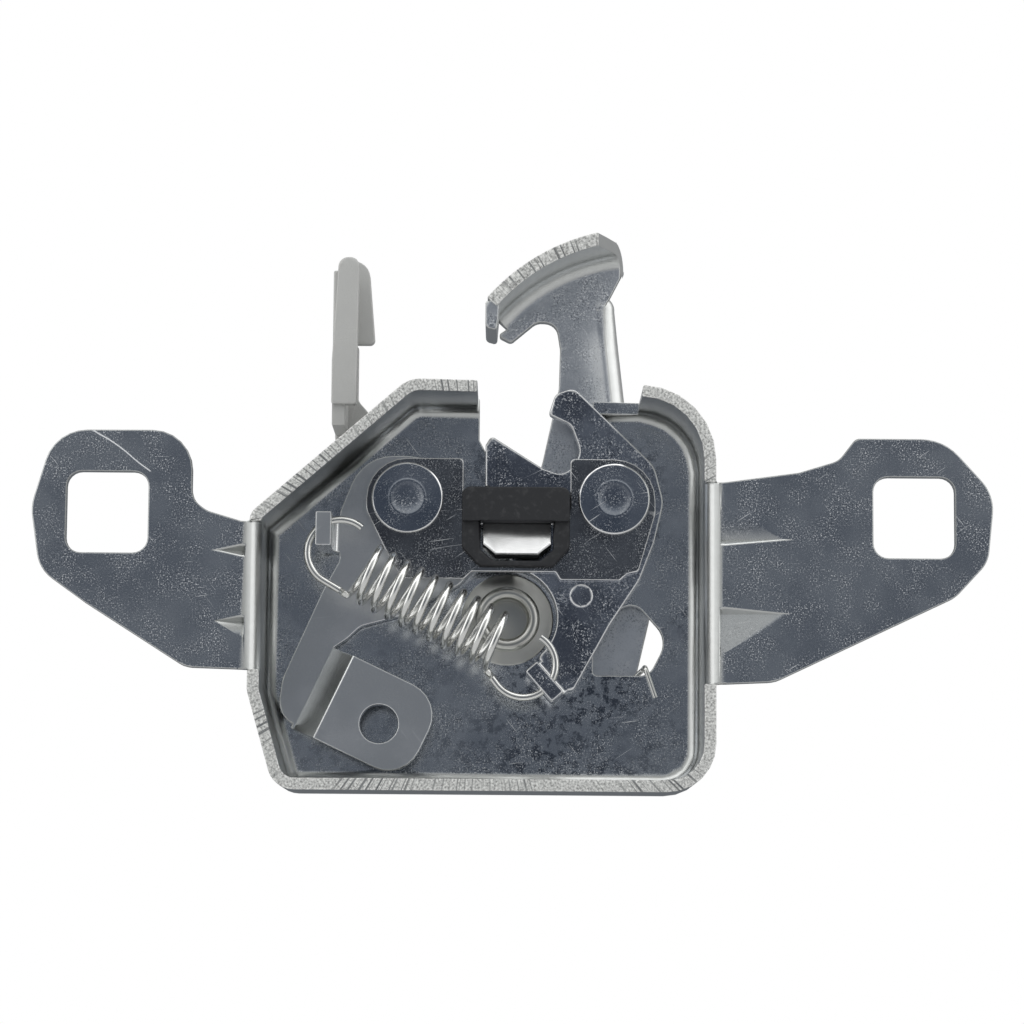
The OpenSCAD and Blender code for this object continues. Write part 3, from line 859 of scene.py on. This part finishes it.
def tube(path: np.ndarray, radius: float, sides: int = 14, lean: Point = (0.3, 0.5, 0.8)) -> bmesh.types.BMesh:
    """Sweeps a round section along a path.

    Args:
        path: points in millimetres.
        radius: radius in millimetres.
        sides: corners of the section.
        lean: a direction across the path's start, from which the first corner is turned.

    Returns:
        The closed tube in metres.
    """
    bm = bmesh.new()
    tangents = np.gradient(path, axis=0)
    tangents /= np.linalg.norm(tangents, axis=1)[:, None]
    side = np.cross(tangents[0], lean)
    rings = []
    for p, t in zip(path, tangents):
        side = side - t * side.dot(t)
        side /= np.linalg.norm(side)
        up = np.cross(t, side)
        ring = []
        for k in range(sides):
            a = 2 * math.pi * k / sides
            ring.append(bm.verts.new(Vector((p + radius * (math.cos(a) * side + math.sin(a) * up)) * MM)))
        rings.append(ring)
    for a, b in zip(rings, rings[1:]):
        for k in range(sides):
            bm.faces.new((a[k], a[(k + 1) % sides], b[(k + 1) % sides], b[k]))
    bm.faces.new(list(reversed(rings[0])))
    bm.faces.new(rings[-1])
    bmesh.ops.recalc_face_normals(bm, faces=bm.faces)
    return bm


@dataclass
class MainSpring:
    """Tension spring between the lever and the claw, in two halves."""

    start: Point = (-28.3, 7.5, -9.6)
    end: Point = (-2.0, 7.5, -23.3)
    turns: int = 10
    coil_r: float = 5.4
    wire_r: float = 0.7
    loop_r: float = 6.15
    loop_bend: float = 1.5
    lever_loop: Span = (-31.9, -6.6)
    claw_loop: Span = (2.5, -27.2)
    open_ends: Span = (49.0, 418.0)
    turn_steps: int = 32
    bend_steps: int = 6
    lead_steps: int = 4
    loop_steps: int = 40
    pieces: list[bpy.types.Object] = field(default_factory=list)

    def helix(self) -> np.ndarray:
        """Centre line of the coil.

        Returns:
            Points from the lever's end to the claw's end, starting and ending on the lower side.
        """
        a, b = np.array(self.start), np.array(self.end)
        along = b - a
        axis = along / np.linalg.norm(along)
        low = np.array((axis[2], 0.0, -axis[0]))
        depth = np.array((0.0, 1.0, 0.0))
        t = np.linspace(0, 1, self.turns * self.turn_steps + 1)[:, None]
        w = 2 * math.pi * self.turns * t
        return a + along * t + self.coil_r * (np.cos(w) * low + np.sin(w) * depth)

    def loop(self, centre: Span, joint: np.ndarray, way: int, open_end: float) -> np.ndarray:
        """Centre line of an end loop with its lead from the coil.

        Args:
            centre: middle of the loop in x and z.
            joint: end of the coil.
            way: -1 before the coil, 1 after it.
            open_end: angle of the loop's open end in degrees.

        Returns:
            Points from the coil to the open end.
        """
        c = np.array(centre)
        b = joint[[0, 2]]
        gap = b - c
        lead = math.sqrt(gap.dot(gap) - self.loop_r**2)
        a = math.degrees(math.atan2(gap[1], gap[0])) + way * math.degrees(math.atan(lead / self.loop_r))
        out = np.array((math.cos(math.radians(a)), math.sin(math.radians(a))))
        tangent = np.array((-out[1], out[0]))
        touch = c + self.loop_r * out
        knee = touch - way * (lead - self.loop_bend) * tangent
        y = joint[1] + way * self.loop_bend
        points = []
        for k in range(1, self.bend_steps + 1):
            q = math.pi / 2 * k / self.bend_steps
            p = knee - way * tangent * self.loop_bend * (1 - math.sin(q))
            points.append((p[0], joint[1] + way * self.loop_bend * (1 - math.cos(q)), p[1]))
        for k in range(1, self.lead_steps + 1):
            p = knee + (touch - knee) * k / self.lead_steps
            points.append((p[0], y, p[1]))
        turn = (a + 720 - open_end) % 360 if way < 0 else open_end - (a + 720) % 360
        for k in range(1, self.loop_steps + 1):
            q = math.radians(a + way * turn * k / self.loop_steps)
            points.append((c[0] + self.loop_r * math.cos(q), y, c[1] + self.loop_r * math.sin(q)))
        return np.array(points)

    def build(self, finishes: Finishes) -> list[bpy.types.Object]:
        """Makes both halves.

        Args:
            finishes: the built finishes.

        Returns:
            The two pieces.
        """
        coil = self.helix()
        half = len(coil) // 2
        first = self.loop(self.lever_loop, coil[0], -1, self.open_ends[0])
        last = self.loop(self.claw_loop, coil[-1], 1, self.open_ends[1])
        halves = (
            ("main_spring_lever_half", np.vstack([first[::-1], coil[: half + 1]]), Body.LEVER, self.lever_loop),
            ("main_spring_claw_half", np.vstack([coil[half:], last]), Body.CLAW, self.claw_loop),
        )
        for name, path, body, loop in halves:
            obj = mesh_object(tube(path, self.wire_r), name, finishes.get("spring wire"))
            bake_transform(obj)
            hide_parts("main_spring")
            self.pieces.append(obj)
        return self.pieces


@dataclass
class HookSpring:
    """Return spring of the hook: a turn of wire with one leg on the pan and one on the hook's arm."""

    at: Span = (-0.5, -17.7)
    coil_r: float = 7.55
    wire_r: float = 0.5
    turn_y: Span = (22.8, 24.0)
    peg_front: float = 19.4
    peg: Span = (25.8, -26.6)
    peg_end: Span = (27.8, -32.4)
    knee: Span = (21.6, -30.6)
    toe_x: float = 8.0
    heel_x: float = -10.0
    tip: Span = (-12.5, 6.5)
    tip_y: float = 28.3
    bend: float = 1.2
    sides: int = 12
    turn_steps: int = 48

    def build(self, finishes: Finishes) -> list[bpy.types.Object]:
        """Makes the coil with its pan leg, and the leg on the arm.

        Args:
            finishes: the built finishes.

        Returns:
            The two pieces.
        """
        low = self.at[1] - self.coil_r
        y0, y1 = self.turn_y
        x, z = self.at
        (peg_x, peg_z), (end_x, end_z) = self.peg, self.peg_end
        legs = [(end_x, self.peg_front, end_z), (peg_x, self.peg_front, peg_z), (peg_x, y0, peg_z),
                (self.knee[0], y0, self.knee[1]), (self.toe_x, y0, low), (x, y0, low)]
        turn = []
        for k in range(1, self.turn_steps + 1):
            share = k / self.turn_steps
            a = math.radians(-90 - 360 * share)
            turn.append((x + self.coil_r * math.cos(a), y0 + (y1 - y0) * share, z + self.coil_r * math.sin(a)))
        coil = np.vstack([rounded_route(legs, self.bend), turn])
        arm = rounded_route([turn[-1], (self.heel_x, y1, low), (self.tip[0], y1, self.tip[1]),
                             (self.tip[0], self.tip_y, self.tip[1])], self.bend)
        wire = finishes.get("spring wire")
        on_pan = mesh_object(tube(coil, self.wire_r, self.sides), "hook_spring_coil", wire)
        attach(on_pan, Body.FRAME.value)
        on_arm = mesh_object(tube(arm, self.wire_r, self.sides), "hook_spring_arm", wire)
        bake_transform(on_arm)
        for piece in (on_pan, on_arm):
            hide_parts("hook_spring")
        return [on_pan, on_arm]


@dataclass
class FrontRivet:
    """Front rivet: a flat head with a ring mark and a thin rounded edge, a shank and a set tail."""

    node: str
    head_t: float = 2.2
    shank_r: float = 3.5
    tail_t: float = 1.8
    tail_r: Span = (5.5, 4.7)
    ring_r: float = 3.3
    ring_w: float = 0.55
    ring_h: float = 0.13
    ring_flat: float = 0.22
    edge: float = 0.45
    edge_steps: int = 6

    def build(self, finishes: Finishes) -> bpy.types.Object:
        """Makes the rivet.

        Args:
            finishes: the built finishes.

        Returns:
            The new object.
        """
        low, high = (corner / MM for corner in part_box(self.node))
        head_r = (high.x - low.x) / 2
        length = high.y - low.y
        floor = length - self.tail_t
        edge = [(head_r - self.edge * (1 - math.sin(a)), 2 * self.ring_h + self.edge * (1 - math.cos(a)))
                for a in np.linspace(0, math.pi / 2, self.edge_steps + 1)]
        ring = [(self.ring_r - self.ring_w, self.ring_h), (self.ring_r - self.ring_flat, 0.0),
                (self.ring_r + self.ring_flat, 0.0), (self.ring_r + self.ring_w, self.ring_h)]
        profile = [(0.0, self.ring_h), *ring, *edge, (head_r, self.head_t), (self.shank_r, self.head_t),
                   (self.shank_r, floor), (self.tail_r[0], floor), (self.tail_r[1], length), (0.0, length)]
        middle = ((low.x + high.x) / 2, (low.z + high.z) / 2)
        obj = mesh_object(turned(profile, middle, low.y), "shown_" + self.node, finishes.get("rivet steel"))
        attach(obj, Body.FRAME.value)
        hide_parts(self.node)
        return obj


@dataclass
class TubularRivet:
    """Rivet of the safety hook: a rounded hollow flange in front, a shoulder, a pin and a flat tail."""

    node: str = "hook_rivet"
    flange_r: float = 6.2
    flange_t: float = 1.5
    hole_r: float = 3.8
    hole_deep: float = 6.0
    pin_r: float = 4.9
    shoulder_r: float = 6.55
    shoulder: Span = (3.7, 7.5)
    tail_t: float = 1.6
    tail_edge: float = 0.3
    crest_h: float = 1.2
    crest_steps: int = 12

    def build(self, finishes: Finishes) -> bpy.types.Object:
        """Makes the rivet.

        Args:
            finishes: the built finishes.

        Returns:
            The new object.
        """
        low, high = (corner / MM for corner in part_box(self.node))
        tail_r = (high.x - low.x) / 2
        length = high.y - low.y
        half = (self.flange_r - self.hole_r) / 2
        crest = [(self.hole_r + half - half * math.cos(a), self.crest_h * (1 - math.sin(a)))
                 for a in np.linspace(0, math.pi, self.crest_steps + 1)]
        profile = [(0.0, self.hole_deep), (self.hole_r, self.hole_deep), *crest, (self.flange_r, self.flange_t),
                   (self.pin_r, self.flange_t), (self.pin_r, self.shoulder[0]),
                   (self.shoulder_r, self.shoulder[0]), (self.shoulder_r, self.shoulder[1]),
                   (self.pin_r, self.shoulder[1]),
                   (self.pin_r, length - self.tail_t), (tail_r, length - self.tail_t),
                   (tail_r, length - self.tail_edge), (tail_r - self.tail_edge, length), (0.0, length)]
        middle = ((low.x + high.x) / 2, (low.z + high.z) / 2)
        obj = mesh_object(turned(profile, middle, low.y), "shown_" + self.node, finishes.get("zinc drawn"))
        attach(obj, Body.FRAME.value)
        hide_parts(self.node)
        return obj


@dataclass
class Latch:
    """The whole latch: every shown piece; the pressings, the rivets and the hook spring's coil sit on their
    bodies.
    """

    finishes: Finishes
    made: list[bpy.types.Object] = field(default_factory=list)

    def pressings(self) -> list[Pressing]:
        """Lists the pieces that are shown as chamfered copies of their nodes.

        Returns:
            The pressings, bushes and the bumper.
        """
        return [
            PanPressing("pan", Body.FRAME, Slot.SHEET, "zinc sheet", 0.3,
                        ("rim sheared edge", "zinc drawn"), merge=0.06),
            Pressing("bridge_plate", Body.FRAME, Slot.PLATE, "bridge zinc", 0.28),
            Pressing("rubber_bumper", Body.FRAME, Slot.RUBBER, "black rubber", 0.4),
            Pressing("claw", Body.CLAW, Slot.PLATE, "zinc plate", 0.45),
            Pressing("release_lever", Body.LEVER, Slot.LEVER, "lever steel", 0.3),
            Pressing("claw_bush", Body.FRAME, Slot.RIVET, "rivet steel", 0.0),
            Pressing("lever_bush", Body.FRAME, Slot.RIVET, "rivet steel", 0.0),
            HookPressing("safety_hook", Body.HOOK, Slot.SHEET, "hook plating", 0.3, ("hook sheared edge",)),
        ]

    def build(self) -> list[bpy.types.Object]:
        """Makes every piece.

        Returns:
            All shown objects of the latch.
        """
        for piece in self.pressings():
            self.made.append(piece.build(self.finishes))
        for rivet in (FrontRivet("claw_rivet"), FrontRivet("lever_rivet"), TubularRivet()):
            self.made.append(rivet.build(self.finishes))
        self.made.extend(MainSpring().build(self.finishes))
        self.made.extend(HookSpring().build(self.finishes))
        for obj in self.made:
            log.info("%s: %d faces", obj.name, len(obj.data.polygons))
        return self.made


@dataclass
class Lamp:
    """A soft area light."""

    name: str
    at: Point
    size: Span
    power: float
    aim: Point = (0.0, 0.0, 0.0)

    def build(self) -> bpy.types.Object:
        """Makes the light.

        Returns:
            The light, linked to the scene.
        """
        data = bpy.data.lights.new(self.name, "AREA")
        data.shape = "RECTANGLE"
        data.size, data.size_y = self.size
        data.energy = self.power
        obj = bpy.data.objects.new(self.name, data)
        obj.location = self.at
        obj.rotation_euler = (Vector(self.aim) - Vector(self.at)).to_track_quat("-Z", "Y").to_euler()
        bpy.context.scene.collection.objects.link(obj)
        return obj


SOFTBOX = (1.0, 1.0)
LAMPS = (
    Lamp("left softbox", (-0.75, -0.25, 0.35), SOFTBOX, 2.4),
    Lamp("right softbox", (0.75, -0.20, 0.30), SOFTBOX, 2.2),
    Lamp("top softbox", (0.0, -0.10, 0.85), SOFTBOX, 3.2),
)


@dataclass
class Studio:
    """Camera, floor, surroundings and lights.

    The metal mirrors a set of its own: white at the sides, a dim room towards the front and back, and a dark
    card straight in front and behind. Each span gives the shares of a ray along Y at which a tone starts and
    is full.
    """

    camera_at: Point = (-0.3 * MM, -606.6 * MM, -78.5 * MM)
    camera_turn: tuple[float, float, float] = (97.42, 0.43, -0.05)
    lens: float = 115.76
    sensor: float = 36.0
    clip_start: float = 0.01
    floor_z: float = -0.16
    floor_size: float = 4.0
    floor_colour: Colour = (0.82, 0.82, 0.82)
    floor_card: Span = (0.86, 0.975)
    floor_tone: Colour = (0.66, 0.665, 0.67)
    card: Span = (0.88, 0.96)
    card_tone: Colour = (0.130, 0.144, 0.166)
    room: Span = (0.0, 0.7)
    room_tone: Colour = (0.50, 0.51, 0.51)
    room_back_tone: Colour = (0.36, 0.365, 0.37)
    floor_back_tone: Colour = (0.36, 0.365, 0.37)
    half: Span = (0.1, -0.1)
    around_tone: Colour = (0.72, 0.73, 0.72)

    def build(self) -> None:
        """Makes the whole set."""
        self.make_camera()
        self.make_floor()
        self.make_world()
        for lamp in LAMPS:
            lamp.build()
        bpy.context.scene.view_settings.view_transform = "Standard"

    def make_camera(self) -> None:
        """Puts the camera where the photo was taken from."""
        data = bpy.data.cameras.new("camera")
        data.lens = self.lens
        data.sensor_width = self.sensor
        data.clip_start = self.clip_start
        data.dof.use_dof = False
        obj = bpy.data.objects.new("camera", data)
        tilt, roll, pan = (math.radians(angle) for angle in self.camera_turn)
        aimed = Matrix.Rotation(pan, 4, "Z") @ Matrix.Rotation(tilt, 4, "X") @ Matrix.Rotation(roll, 4, "Z")
        obj.matrix_world = Matrix.Translation(self.camera_at) @ aimed
        bpy.context.scene.collection.objects.link(obj)
        bpy.context.scene.camera = obj

    def make_floor(self) -> None:
        """Makes a plain pale floor that the camera sees as white and the metal mirrors as grey."""
        bm = bmesh.new()
        bmesh.ops.create_grid(bm, x_segments=1, y_segments=1, size=self.floor_size)
        bmesh.ops.translate(bm, verts=bm.verts, vec=(0.0, 0.0, self.floor_z))
        mat = bpy.data.materials.new("floor")
        mat.use_nodes = True
        g = Graph(mat.node_tree)
        pale = g.node("BsdfDiffuse", Color=(*self.floor_colour, 1.0))
        along = g.part(g.node("NewGeometry").outputs["Incoming"], Y)
        dim = g.mix(g.ramp(along, *self.half), self.floor_tone, self.floor_back_tone)
        dim = g.mix(g.ramp(g.maths("ABSOLUTE", along), *self.floor_card), dim, self.card_tone)
        tone = g.mix(g.node("LightPath").outputs["Is Camera Ray"], dim, WHITE)
        self.blend(g, pale, g.node("Emission", Color=tone, Strength=1.0), "OutputMaterial")
        mesh_object(bm, "floor", mat)

    @staticmethod
    def seen(g: Graph) -> bpy.types.NodeSocket:
        """One for rays that show the background: from the camera, a reflection or a see-through surface.

        Args:
            g: the tree.

        Returns:
            The mask.
        """
        path = g.node("LightPath").outputs
        shown = g.maths("MAXIMUM", path["Is Camera Ray"], path["Is Glossy Ray"])
        return g.maths("MAXIMUM", shown, path["Is Transmission Ray"])

    def blend(self, g: Graph, lit: bpy.types.Node, shown: bpy.types.Node, output: str) -> None:
        """Ends a tree with one shader for rays that show the background and another for the rest.

        Args:
            g: the tree.
            lit: shader for the other rays.
            shown: shader for rays that show the background.
            output: kind of the output node.
        """
        both = g.node("MixShader", Fac=self.seen(g))
        g.feed(both.inputs[1], lit.outputs[0])
        g.feed(both.inputs[2], shown.outputs[0])
        g.feed(g.node(output).inputs["Surface"], both.outputs[0])

    def make_world(self) -> None:
        """Makes the white background, what the metal mirrors of the room, and a pale light all round."""
        world = bpy.data.worlds.new("studio")
        world.use_nodes = True
        g = Graph(world.node_tree)
        along = g.part(g.node("TexCoord").outputs["Generated"], Y)
        facing = g.maths("ABSOLUTE", along)
        mirrored = g.maths("SUBTRACT", 1.0, g.node("LightPath").outputs["Is Camera Ray"])
        behind = g.ramp(g.maths("MULTIPLY", along, -1.0), *self.half)
        around = g.mix(behind, self.room_tone, self.room_back_tone)
        tone = g.mix(g.maths("MULTIPLY", g.ramp(facing, *self.room), mirrored), WHITE, around)
        tone = g.mix(g.maths("MULTIPLY", g.ramp(facing, *self.card), mirrored), tone, self.card_tone)
        lit = g.node("Background", Color=(*self.around_tone, 1.0), Strength=1.0)
        self.blend(g, lit, g.node("Background", Color=tone, Strength=1.0), "OutputWorld")
        bpy.context.scene.world = world


def main() -> None:
    logging.basicConfig(level=logging.INFO, format="%(message)s")
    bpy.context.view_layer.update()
    Latch(Finishes(*FINISHES)).build()
    Studio().build()


if __name__ == "__main__":
    main()
